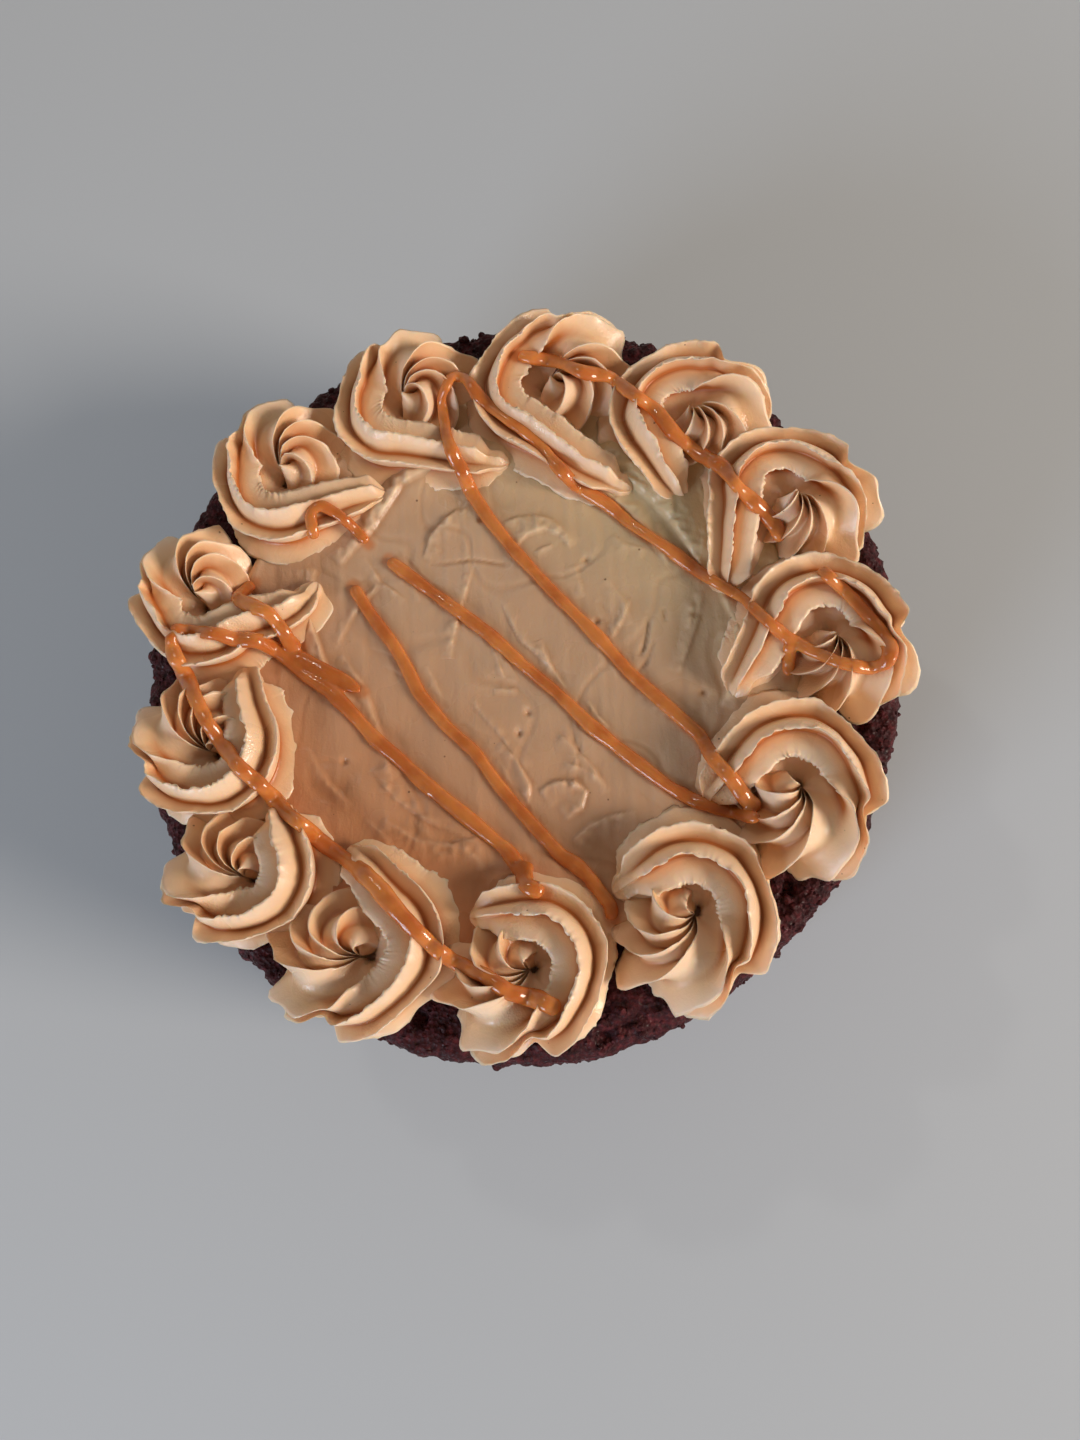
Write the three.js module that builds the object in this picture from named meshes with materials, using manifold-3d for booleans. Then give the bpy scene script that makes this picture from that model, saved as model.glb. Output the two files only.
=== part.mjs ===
// A round chocolate cake with a ring of thirteen piped rosettes, as a scene graph of closed solids.
// Millimetres, +Z up. The origin is the centre of the flat underside, and the front of the cake faces -Y.
//
// The sponge is one uncut drum. A low disc of spread buttercream lies in the middle of its top, and the
// rosettes stand round it. Each rosette is one strand from a six-pointed star nozzle, laid
// anticlockwise from its own centre outwards, with a tail that trails off clockwise round the cake.
import * as THREE from "three";
import { mergeVertices } from "three/addons/utils/BufferGeometryUtils.js";
import Module from "manifold-3d";

const wasm = await Module();
wasm.setup();

// ---- Driving dimensions -------------------------------------------------------------------------
const SPONGE_RADIUS = 101; // an eight inch tin
const SPONGE_HEIGHT = 70;
const SPONGE_SHRINK = 1.5; // how much narrower the foot is than the middle
const SPONGE_SHOULDER = 5; // radius of the worn top edge
const SPONGE_WOBBLE = 0.8; // unevenness of the drum's outline
const SPREAD_RADIUS = 66; // the disc of spread buttercream
const SPREAD_HEIGHT = 5.5;
const SPREAD_WOBBLE = 1.2;
const SEAT_GAP = 0.3; // clearance between solids that touch
const SLIVER = 0.1; // edges that stand out by less than this are let go

// The strand. Angles round a rosette are counted from the direction of the cake's centre.
const STAR_POINTS = 6;
const STRAND_CREST = 8.6; // the strand's axis to the tip of a ridge
const STRAND_GROOVE = 5.4; // the strand's axis to the bottom of a groove
const COIL_START_ANGLE = -50;
const COIL_START_RADIUS = 4.6; // radius of the path where it begins
const COIL_OPEN_ANGLE = 145; // where the path has its whole radius
const COIL_OPENING = 1.15; // above 1 the coil opens faster at first
const COIL_STEP = 27; // degrees between sections
const TWIST_END_ANGLE = 220; // the ridges roll over the strand until here,
const TWIST_TOTAL = 355; // by this many degrees in all,
const TWIST_REST = 55; // and come to rest with a ridge this far inward from the top
const TWIST_HURRY = 1.35; // above 1 they roll faster at first
const AXIS_HEIGHT_INNER = 9.5; // height of the strand's axis above the sponge, at the centre
const AXIS_HEIGHT_OUTER = 8; // and on the outer turn
const FOOT_RADIUS = 5; // the cream under the coil: its radius on top,
const FOOT_INSET = 4; // how far it stands in from the rosette's edge at the bottom,
const FOOT_HEIGHT = 10; // and its height, which is the bottom of the pit in the middle
const TAIL_STEPS = 2;
const TAIL_CLIMB = 3.5; // how far the axis rises to lie on the spread disc,
const TAIL_DROP = 2; // and how far it sinks again at the end
const TAIL_END_SHARE = 0.55; // thickness of the tail's end, as a share of the whole

// Each rosette, clockwise from the back: degrees round the cake from +X, distance from the cake's centre,
// outer radius, how many degrees short of the inward direction the tail leaves, and the tail's length.
const ROSETTES = [
  { angle: 80, ring: 78, radius: 20.5, leave: 26, tail: 27 },
  { angle: 52, ring: 82, radius: 19.5, leave: 18, tail: 17 },
  { angle: 27, ring: 86, radius: 18.5, leave: 42, tail: 27 },
  { angle: 1, ring: 84, radius: 20, leave: 36, tail: 24 },
  { angle: -26, ring: 82, radius: 21.5, leave: 12, tail: 17 },
  { angle: -54, ring: 81, radius: 22, leave: 4, tail: 14 },
  { angle: -84, ring: 79, radius: 22, leave: 0, tail: 14 },
  { angle: -114, ring: 82, radius: 21.5, leave: 16, tail: 21 },
  { angle: -139, ring: 85, radius: 20, leave: 14, tail: 14 },
  { angle: -163, ring: 79, radius: 20.5, leave: 0, tail: 20 },
  { angle: 167, ring: 84, radius: 18.5, leave: 38, tail: 30 },
  { angle: 138, ring: 82, radius: 18.5, leave: 36, tail: 33 },
  { angle: 110, ring: 79, radius: 18, leave: 34, tail: 30 },
];

// ---- Colours ------------------------------------------------------------------------------------
const spongeLook = new THREE.MeshStandardMaterial({ color: 0x3a1a1c, roughness: 0.95, metalness: 0 });
const creamLook = new THREE.MeshStandardMaterial({ color: 0xd9b48a, roughness: 0.5, metalness: 0 });

// ---- Solids -------------------------------------------------------------------------------------
const degrees = THREE.MathUtils.degToRad;
const lerp = THREE.MathUtils.lerp;

// A closed geometry as a solid that can be joined and cut.
function solidFrom(geometry) {
  const bare = geometry.index ? geometry.toNonIndexed() : geometry.clone();
  bare.deleteAttribute("normal");
  bare.deleteAttribute("uv");
  const merged = mergeVertices(bare, 1e-4);
  return new wasm.Manifold(
    new wasm.Mesh({
      numProp: 3,
      vertProperties: merged.attributes.position.array,
      triVerts: new Uint32Array(merged.index.array),
    }),
  );
}

// A solid back as a geometry.
function geometryFrom(solid) {
  const mesh = solid.getMesh();
  const points = new Float32Array(mesh.numVert * 3);
  for (let i = 0; i < mesh.numVert; i++) {
    points.set(mesh.vertProperties.subarray(i * mesh.numProp, i * mesh.numProp + 3), i * 3);
  }
  return new THREE.BufferGeometry()
    .setAttribute("position", new THREE.BufferAttribute(points, 3))
    .setIndex(new THREE.BufferAttribute(mesh.triVerts, 1));
}

// The largest body of a solid that a cut may have split, without the slivers the cut leaves.
function mainBody(solid) {
  const bodies = solid.simplify(SLIVER).decompose();
  return bodies.reduce((best, body) => (body.volume() > best.volume() ? body : best));
}

// A tube through a list of rings, each a closed loop of as many points, with flat ends. The loops run
// anticlockwise as seen looking along the tube.
function tubeThrough(rings) {
  const around = rings[0].length;
  const points = rings.flat();
  const faces = [];
  for (let j = 0; j + 1 < rings.length; j++) {
    for (let i = 0; i < around; i++) {
      const a = j * around + i;
      const b = j * around + ((i + 1) % around);
      faces.push(a, b + around, b, a, a + around, b + around);
    }
  }
  const centreOf = (ring) =>
    ring.reduce((sum, p) => sum.add(p), new THREE.Vector3()).divideScalar(around);
  const last = (rings.length - 1) * around;
  points.push(centreOf(rings[0]), centreOf(rings[rings.length - 1]));
  for (let i = 0; i < around; i++) {
    const next = (i + 1) % around;
    faces.push(points.length - 2, i, next);
    faces.push(points.length - 1, last + next, last + i);
  }
  return new THREE.BufferGeometry().setFromPoints(points).setIndex(faces);
}

// The slow unevenness of something made by hand, from -1 to 1 round the cake.
function unevenness(angle, seed) {
  return 0.6 * Math.sin(3 * angle + seed) + 0.4 * Math.sin(5 * angle + 2.3 * seed);
}

// A turned profile whose outline wanders by a little all the way round.
function unevenDrum(profile, sides, wobble, seed) {
  const geometry = new THREE.LatheGeometry(profile, sides);
  geometry.rotateX(Math.PI / 2);
  const position = geometry.attributes.position;
  for (let i = 0; i < position.count; i++) {
    const x = position.getX(i);
    const y = position.getY(i);
    if (Math.hypot(x, y) < 1e-6) continue;
    const grown = 1 + (wobble * unevenness(Math.atan2(y, x), seed)) / profile[1].x;
    position.setXY(i, x * grown, y * grown);
  }
  return geometry;
}

// The sponge's drum: a flat foot, a wall that bulges a little, and a worn top edge.
function spongeGeometry() {
  const profile = [
    new THREE.Vector2(0, 0),
    new THREE.Vector2(SPONGE_RADIUS - SPONGE_SHRINK, 0),
    new THREE.Vector2(SPONGE_RADIUS, SPONGE_HEIGHT * 0.45),
  ];
  for (let step = 0; step <= 3; step++) {
    const a = (step / 3) * (Math.PI / 2);
    profile.push(
      new THREE.Vector2(
        SPONGE_RADIUS - SPONGE_SHOULDER * (1 - Math.cos(a)),
        SPONGE_HEIGHT - SPONGE_SHOULDER * (1 - Math.sin(a)),
      ),
    );
  }
  profile.push(new THREE.Vector2(0, SPONGE_HEIGHT));
  return unevenDrum(profile, 54, SPONGE_WOBBLE, 0.7);
}

// The disc of spread buttercream, with a gap added all round when it is used as a cutter.
function spreadGeometry(gap) {
  const foot = SPONGE_HEIGHT + SEAT_GAP - gap;
  const top = SPONGE_HEIGHT + SEAT_GAP + SPREAD_HEIGHT + gap;
  const profile = [
    new THREE.Vector2(0, foot),
    new THREE.Vector2(SPREAD_RADIUS + gap, foot),
    new THREE.Vector2(SPREAD_RADIUS - 1 + gap, top - 2),
    new THREE.Vector2(SPREAD_RADIUS - 4 + gap, top),
    new THREE.Vector2(SPREAD_RADIUS * 0.6, top - 0.8),
    new THREE.Vector2(0, top - 0.5),
  ];
  return unevenDrum(profile, 36, SPREAD_WOBBLE, 2.1);
}

// The strand at an angle round its rosette, in the rosette's own frame: x towards the cake's centre,
// y clockwise round the cake. Past the coil it runs on straight, by a share of the tail.
function strandAt(rosette, angle, run) {
  const coilOuter = rosette.radius - STRAND_CREST;
  const span = COIL_OPEN_ANGLE - COIL_START_ANGLE;
  const opened = Math.min(1, (angle - COIL_START_ANGLE) / span);
  const radius = lerp(COIL_START_RADIUS, coilOuter, 1 - Math.pow(1 - opened, COIL_OPENING));
  const a = degrees(angle);
  const heading = new THREE.Vector3(-Math.sin(a), Math.cos(a), 0);
  const place = new THREE.Vector3(radius * Math.cos(a), radius * Math.sin(a), 0);
  place.addScaledVector(heading, rosette.tail * run);
  place.z = lerp(AXIS_HEIGHT_INNER, AXIS_HEIGHT_OUTER, opened);
  place.z += TAIL_CLIMB * Math.sin(Math.PI * run) - TAIL_DROP * run;
  const rolled = Math.max(0, (TWIST_END_ANGLE - angle) / (TWIST_END_ANGLE - COIL_START_ANGLE));
  const roll = degrees(TWIST_REST - TWIST_TOTAL * Math.pow(rolled, TWIST_HURRY));
  const room = Math.min(1, (radius - 0.2) / STRAND_CREST); // the strand never crosses its own centre
  return { place, heading, roll, size: room * lerp(1, TAIL_END_SHARE, run) };
}

// The star section at one point of the path.
function starRing({ place, heading, roll, size }) {
  const inward = new THREE.Vector3(-heading.y, heading.x, 0);
  const ring = [];
  for (let i = 0; i < 2 * STAR_POINTS; i++) {
    const angle = roll + (i * Math.PI) / STAR_POINTS;
    const reach = size * (i % 2 ? STRAND_GROOVE : STRAND_CREST);
    ring.push(
      place
        .clone()
        .addScaledVector(inward, reach * Math.sin(angle))
        .add(new THREE.Vector3(0, 0, reach * Math.cos(angle))),
    );
  }
  return ring;
}

// A whole rosette before it meets its neighbours. It is swept in half turns that are then joined, so
// that the coil merges with itself, and it is cut flat where it stands.
function rosetteSolid(rosette) {
  const rings = [];
  const end = 360 - rosette.leave;
  const steps = Math.round((end - COIL_START_ANGLE) / COIL_STEP);
  for (let i = 0; i <= steps; i++) {
    rings.push(starRing(strandAt(rosette, lerp(COIL_START_ANGLE, end, i / steps), 0)));
  }
  for (let i = 1; i <= TAIL_STEPS; i++) rings.push(starRing(strandAt(rosette, end, i / TAIL_STEPS)));
  const edge = rosette.radius - FOOT_INSET;
  const foot = new THREE.CylinderGeometry(FOOT_RADIUS, edge, FOOT_HEIGHT, 12).rotateX(Math.PI / 2);
  let solid = solidFrom(foot.translate(0, 0, FOOT_HEIGHT / 2));
  const half = Math.round(180 / COIL_STEP);
  for (let from = 0; from < rings.length - 1; from += half) {
    const to = Math.min(from + half, rings.length - 1);
    solid = solid.add(solidFrom(tubeThrough(rings.slice(from, to + 1))));
  }
  const reach = 6 * rosette.radius;
  const under = new THREE.BoxGeometry(reach, reach, reach).translate(0, 0, -reach / 2);
  return mainBody(solid.subtract(solidFrom(under)));
}

// A rosette's place on the cake, with its own x pointing at the cake's centre. The last argument grows
// it about its own middle, for use as a cutter.
function onTheCake(geometry, rosette, growth = 1) {
  const angle = degrees(rosette.angle);
  return geometry
    .clone()
    .scale(growth, growth, growth)
    .rotateZ(angle + Math.PI)
    .translate(
      rosette.ring * Math.cos(angle),
      rosette.ring * Math.sin(angle),
      SPONGE_HEIGHT + SEAT_GAP - (growth - 1) * AXIS_HEIGHT_OUTER,
    );
}

// ---- The cake -----------------------------------------------------------------------------------
const cake = new THREE.Group();

function addPiece(name, geometry, look) {
  const piece = new THREE.Mesh(geometry, look);
  piece.name = name;
  cake.add(piece);
}

addPiece("sponge", spongeGeometry(), spongeLook);
addPiece("spread_buttercream", spreadGeometry(0), creamLook);

// Each rosette was piped over the end of the one before it, and over the rim of the spread disc.
const NEIGHBOUR_GROWTH = 1 + SEAT_GAP / 9;
const spreadCutter = solidFrom(spreadGeometry(SEAT_GAP));
const whole = ROSETTES.map((rosette) => geometryFrom(rosetteSolid(rosette)));
ROSETTES.forEach((rosette, i) => {
  const next = (i + 1) % ROSETTES.length;
  const nextCutter = solidFrom(onTheCake(whole[next], ROSETTES[next], NEIGHBOUR_GROWTH));
  const cut = solidFrom(onTheCake(whole[i], rosette)).subtract(spreadCutter).subtract(nextCutter);
  addPiece(`rosette_${String(i + 1).padStart(2, "0")}`, geometryFrom(mainBody(cut)), creamLook);
});

export default cake;
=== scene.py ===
# %% [markdown]
# A chocolate cake with thirteen piped rosettes, a disc of spread buttercream and caramel trailed over
# the top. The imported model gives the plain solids. This script keeps them as the frame, and builds
# the real sponge, cream and caramel round them. The scene is in metres, +Z up, front towards -Y.

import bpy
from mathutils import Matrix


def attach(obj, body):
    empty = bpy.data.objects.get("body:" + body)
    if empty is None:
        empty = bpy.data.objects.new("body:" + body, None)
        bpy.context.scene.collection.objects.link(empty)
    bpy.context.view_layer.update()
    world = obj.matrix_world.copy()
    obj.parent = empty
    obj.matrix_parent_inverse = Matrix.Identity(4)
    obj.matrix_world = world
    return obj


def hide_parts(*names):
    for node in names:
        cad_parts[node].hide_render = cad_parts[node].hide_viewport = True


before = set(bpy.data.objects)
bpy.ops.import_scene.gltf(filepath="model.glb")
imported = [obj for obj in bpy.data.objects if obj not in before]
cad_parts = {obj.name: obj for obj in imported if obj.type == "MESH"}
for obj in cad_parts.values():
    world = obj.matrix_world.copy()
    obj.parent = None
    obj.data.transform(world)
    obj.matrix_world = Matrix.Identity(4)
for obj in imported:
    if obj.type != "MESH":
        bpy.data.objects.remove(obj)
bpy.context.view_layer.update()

# %% Tools
import itertools
import math
import random

import bmesh
import bpy
import numpy as np
from mathutils import Matrix, Vector
from mathutils.bvhtree import BVHTree
from mathutils.kdtree import KDTree

MM = 0.001

# %% [markdown]
# Nothing on a cake is even. One function gives all the unevenness: a smooth random value at every
# point of space, whose bumps are a chosen number of millimetres across. It is worked out for whole
# arrays of points at once, because a mesh here has tens of thousands of them, and it is the same on
# each run because each value comes from the place and a seed.


# %% Unevenness
def wander(points, size, seed=0):
    """A smooth random value from -1 to 1 at each point, with bumps about size across."""
    scaled = np.asarray(points, float) / size
    cell = np.floor(scaled).astype(np.int64)
    part = scaled - cell
    part = part * part * (3 - 2 * part)
    value = np.zeros(len(scaled))
    for corner in itertools.product((0, 1), repeat=3):
        # Large odd numbers scatter the cell's place into a number that looks random.
        key = (cell + corner) @ np.array((73856093, 19349663, 83492791)) + seed * 2654435761
        key = (key ^ (key >> 13)) * 1274126177 & 0xFFFFFFFF
        key = (key ^ (key >> 15)) * 2246822519 & 0xFFFFFFFF
        weight = np.prod(np.abs(1 - np.array(corner) - part), axis=1)
        value += weight * ((key >> 8) & 0xFFFF) / 32767.5
    return value - 1


def ease(value, low, high):
    """0 below low, 1 above high, and a smooth step between."""
    t = np.clip((value - low) / (high - low), 0, 1)
    return t * t * (3 - 2 * t)


# %% [markdown]
# Pieces are shaped in bmesh and finished in one place: faces turned outwards, smooth shading, a
# material, and the name of the body they ride on. Coordinates are millimetres until this last step.


# %% Finish a piece
def finish_piece(shape, name, material, replaces=()):
    """Makes an object of a bmesh in millimetres, and hands it to the frame."""
    bmesh.ops.recalc_face_normals(shape, faces=shape.faces)
    bmesh.ops.scale(shape, vec=(MM, MM, MM), verts=shape.verts)
    mesh = bpy.data.meshes.new(name)
    shape.to_mesh(mesh)
    shape.free()
    mesh.shade_smooth()
    piece = bpy.data.objects.new(name, mesh)
    bpy.context.scene.collection.objects.link(piece)
    mesh.materials.append(material)
    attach(piece, "root")
    if replaces:
        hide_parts(*replaces)
    mesh.calc_loop_triangles()
    print(name, len(mesh.loop_triangles), "triangles")
    return piece


# %% Vertices as arrays
def points_of(verts):
    return np.array([v.co for v in verts])


def move_to(verts, places):
    for v, place in zip(verts, places):
        v.co = place


# %% [markdown]
# The sponge, the disc and every strand are closed skins that run round an axis. Spin and extrude could
# make them ring by ring, but not with thousands of rings whose every vertex is placed by a formula. So
# one operator makes a flat grid, each vertex is sent to its place, and the edges that meet are merged.


# %% Roll a grid into a tube
WELD = 1e-4  # millimetres


def rolled_grid(shape, around, along, place):
    """Adds a closed tube: a flat grid whose two edges meet once place(u, v) has put each vertex,
    u from 0 to 1 round the section and v from 0 to 1 along it. A section of no size closes an end."""
    made = bmesh.ops.create_grid(shape, x_segments=around, y_segments=along, size=0.5)["verts"]
    flat = points_of(made) + 0.5
    move_to(made, place(flat[:, 0], flat[:, 1]))
    bmesh.ops.remove_doubles(shape, verts=made, dist=WELD)


# %% [markdown]
# Cream looks paler on a sharp ridge, where light leaves it at once, and warmer and darker deep in a
# fold, where light goes from wall to wall. A material can't see that by itself, so each cream piece
# carries how it lies as an attribute, and its colour paints that highlight and shade in. The mesh is
# softened as if with a hot spoon. Where the soft surface has sunk below the real one there is a ridge,
# and where it has risen over it there is a fold.

# %% Note the folds
FOLD = "fold"


def softened(places, one, other, rounds):
    """Each point moved to the middle of its neighbours, again and again. one and other are the two
    ends of each edge."""
    count = len(places)
    links = np.bincount(one, minlength=count) + np.bincount(other, minlength=count)
    soft = places.copy()
    for _ in range(rounds):
        sums = [
            np.bincount(one, soft[other, k], count) + np.bincount(other, soft[one, k], count)
            for k in range(3)
        ]
        soft = np.stack([part / links for part in sums], axis=1)
    return soft


def note_folds(piece, depth, rounds):
    """Stores how each vertex lies, from -1 on a ridge to 1 in a fold of that depth in millimetres."""
    mesh = piece.data
    places = np.empty(3 * len(mesh.vertices))
    normals = np.empty(3 * len(mesh.vertices))
    ends = np.empty(2 * len(mesh.edges), int)
    mesh.vertices.foreach_get("co", places)
    mesh.vertices.foreach_get("normal", normals)
    mesh.edges.foreach_get("vertices", ends)
    places, normals = places.reshape(-1, 3) / MM, normals.reshape(-1, 3)
    over = ((softened(places, *ends.reshape(-1, 2).T, rounds) - places) * normals).sum(axis=1)
    mesh.attributes.new(FOLD, "FLOAT", "POINT").data.foreach_set("value", np.clip(over / depth, -1, 1))


# %% [markdown]
# The camera comes first, because the caramel is laid by looking through it. It stands over the front
# of the cake and a little to the right, looking down and back.

# %% Camera
CAMERA_AT = Vector((45.7, -81.0, 339.8)) * MM
CAMERA_AIM = Vector((9.6, -15.5, 70.0)) * MM
PHOTO_WIDE, PHOTO_HIGH = 1080, 1440
FOCAL_PIXELS = 1082
SENSOR = 36.0

look = (CAMERA_AIM - CAMERA_AT).normalized()
right = look.cross(Vector((0, 1, 0))).normalized()
upward = right.cross(look)
camera_data = bpy.data.cameras.new("camera")
camera_data.sensor_width = SENSOR
camera_data.lens = FOCAL_PIXELS * SENSOR / PHOTO_HIGH
camera_data.clip_start = 0.01
camera = bpy.data.objects.new("camera", camera_data)
camera.matrix_world = Matrix.Translation(CAMERA_AT) @ Matrix((right, upward, -look)).transposed().to_4x4()
bpy.context.scene.collection.objects.link(camera)
bpy.context.scene.camera = camera
print("lens", round(camera_data.lens, 2), "mm")


def ray_through(x, y):
    """The direction in which the camera sees a point of the photograph."""
    across = float(x - PHOTO_WIDE / 2) / FOCAL_PIXELS
    down = float(y - PHOTO_HIGH / 2) / FOCAL_PIXELS
    return (look + across * right - down * upward).normalized()


# %% [markdown]
# Every finish here is a tree of shader nodes that works out colour and bumps from the place on the
# piece, so that nothing has to be painted. Three small functions keep the trees short: one turns an
# sRGB hex colour to the linear values that shaders take, one adds a node, one sets a colour ramp.


# %% Colours and nodes
def colour(hex_code):
    """An sRGB hex colour as the linear values that a shader takes."""
    parts = [int(hex_code[i : i + 2], 16) / 255 for i in (1, 3, 5)]
    return (*[c / 12.92 if c <= 0.04045 else ((c + 0.055) / 1.055) ** 2.4 for c in parts], 1)


def new_material(name):
    material = bpy.data.materials.new(name)
    material.use_nodes = True
    material.node_tree.nodes.clear()
    return material, material.node_tree


def add_node(tree, kind, settings=None, links=None):
    """Adds a node. A setting is a property or a socket's value, and a link feeds a socket."""
    node = tree.nodes.new(kind)
    for key, value in (settings or {}).items():
        if isinstance(key, str) and hasattr(node, key):
            setattr(node, key, value)
        else:
            node.inputs[key].default_value = value
    for key, source in (links or {}).items():
        tree.links.new(source, node.inputs[key])
    return node


def set_ramp(node, stops, smooth=False):
    """Gives a colour ramp its stops, each a position and a hex colour."""
    ramp = node.color_ramp
    ramp.interpolation = "EASE" if smooth else "LINEAR"
    while len(ramp.elements) > len(stops):
        ramp.elements.remove(ramp.elements[-1])
    while len(ramp.elements) < len(stops):
        ramp.elements.new(1)
    for element, (position, hex_code) in zip(ramp.elements, stops):
        element.position = position
        element.color = colour(hex_code)


PER_METRE = 1000.0  # a pattern scale of PER_METRE / 5 repeats every 5 mm

# %% [markdown]
# Coffee-caramel buttercream: butter and sugar beaten with air, then piped or spread. To the eye it is
# an opaque, satin, pale tan that glows warmer in its folds, because light travels a millimetre or two
# inside it. Small dark specks are sown over it, and it has patches where the air has left small bubbles.
#
# The colour could be one tan with the light doing the rest, but then the folds stay grey. So the colour
# paints light and shade in, following the fold attribute of each piece: a painted highlight, palest, on
# a ridge, and painted shade, warmest and darkest, deep in a fold. A slow noise makes it a little uneven,
# and two zones tint the disc: warmer orange towards the front left, paler and greener towards the back right.

# %% Cream tone
CARAMEL_SHADOW_LAYER = "caramel_painted_shadow"  # how much painted orange shadow of the caramel each vertex carries
BLOTCH = 22  # millimetres across one lighter or darker area of cream


def cream_tone_and_painted_light(tree, place, tones_with_painted_light, zones):
    """The cream's colour, with its painted highlight on ridges and painted shade in folds, before specks and
    the painted shadow round the caramel.
    """
    blotches = add_node(
        tree,
        "ShaderNodeTexNoise",
        {"Scale": PER_METRE / BLOTCH, "Detail": 3.0, "Roughness": 0.55},
        {"Vector": place},
    )
    fold = add_node(tree, "ShaderNodeAttribute", {"attribute_name": FOLD})
    bend = add_node(tree, "ShaderNodeMapRange", {1: -1.0, 2: 1.0, 3: 0.0, 4: 1.0}, {0: fold.outputs["Fac"]})
    tone = add_node(tree, "ShaderNodeValToRGB", links={0: bend.outputs[0]})
    set_ramp(tone, tones_with_painted_light)
    uneven = add_node(
        tree, "ShaderNodeMapRange", {1: 0.3, 2: 0.7, 3: 0.95, 4: 1.05}, {0: blotches.outputs["Fac"]}
    )
    shade = add_node(
        tree, "ShaderNodeHueSaturation", links={"Value": uneven.outputs[0], "Color": tone.outputs["Color"]}
    )
    tint = shade.outputs["Color"]
    for hex_code, share, way, low, high in zones:
        grows = add_node(tree, "ShaderNodeVectorMath", {"operation": "DOT_PRODUCT", 1: way}, {0: place})
        amount = add_node(
            tree, "ShaderNodeMapRange", {1: low, 2: high, 3: 0.0, 4: share}, {0: grows.outputs["Value"]}
        )
        mix = add_node(
            tree, "ShaderNodeMix", {"data_type": "RGBA", 7: colour(hex_code)}, {0: amount.outputs[0], 6: tint}
        )
        tint = mix.outputs[2]
    return tint


# %% [markdown]
# Two things lie over the tone. Round each strand of caramel the cream is tinted orange: a painted
# shadow that stands in for the shade the translucent caramel casts, and an attribute carries how much.
# And each cell of a Voronoi pattern may hold one dark speck: the cell's own random colour says how
# large, and most cells have none.

# %% Painted caramel shadow and specks
SPECK_CELL = 4.6  # millimetres between one possible speck and the next
# The orange of the painted shadow round the caramel strands.
CARAMEL_SHADOW_HEX = "#C9793A"
SPECK_HEX = "#6B4526"


def painted_shadow_and_specks(tree, place, tint):
    caramel_shadow = add_node(tree, "ShaderNodeAttribute", {"attribute_name": CARAMEL_SHADOW_LAYER})
    with_caramel_shadow = add_node(
        tree,
        "ShaderNodeMix",
        {"data_type": "RGBA", 7: colour(CARAMEL_SHADOW_HEX)},
        {0: caramel_shadow.outputs["Fac"], 6: tint},
    )
    cells = add_node(tree, "ShaderNodeTexVoronoi", {"Scale": PER_METRE / SPECK_CELL}, {"Vector": place})
    lot = add_node(tree, "ShaderNodeSeparateColor", links={0: cells.outputs["Color"]})
    size = add_node(
        tree, "ShaderNodeMapRange", {1: 0.35, 2: 1.0, 3: 0.0, 4: 0.085}, {0: lot.outputs["Red"]}
    )
    inside = add_node(
        tree, "ShaderNodeMath", {"operation": "SUBTRACT"}, {0: size.outputs[0], 1: cells.outputs["Distance"]}
    )
    speck = add_node(tree, "ShaderNodeMapRange", {1: 0.0, 2: 0.03, 3: 0.0, 4: 0.75}, {0: inside.outputs[0]})
    specked = add_node(
        tree,
        "ShaderNodeMix",
        {"data_type": "RGBA", 7: colour(SPECK_HEX)},
        {0: speck.outputs[0], 6: with_caramel_shadow.outputs[2]},
    )
    return specked.outputs[2]


# %% [markdown]
# The skin of the cream has a fine grain all over. In patches it is foamy, with bubbles of half a
# millimetre, and a palette knife leaves drag lines. All three are finer than the mesh, so they are
# bumps, one on top of the other. The foamy patches are also the glossier ones.

# %% Cream skin
GRAIN = 0.9  # millimetres
FOAM_PATCH = 14
BUBBLE = 0.55
DRAG_TURN = 58  # degrees by which the knife's lines are turned
DRAG_LINE = (1.6, 4.5, 2)  # millimetres across, along and through the lines


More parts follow.
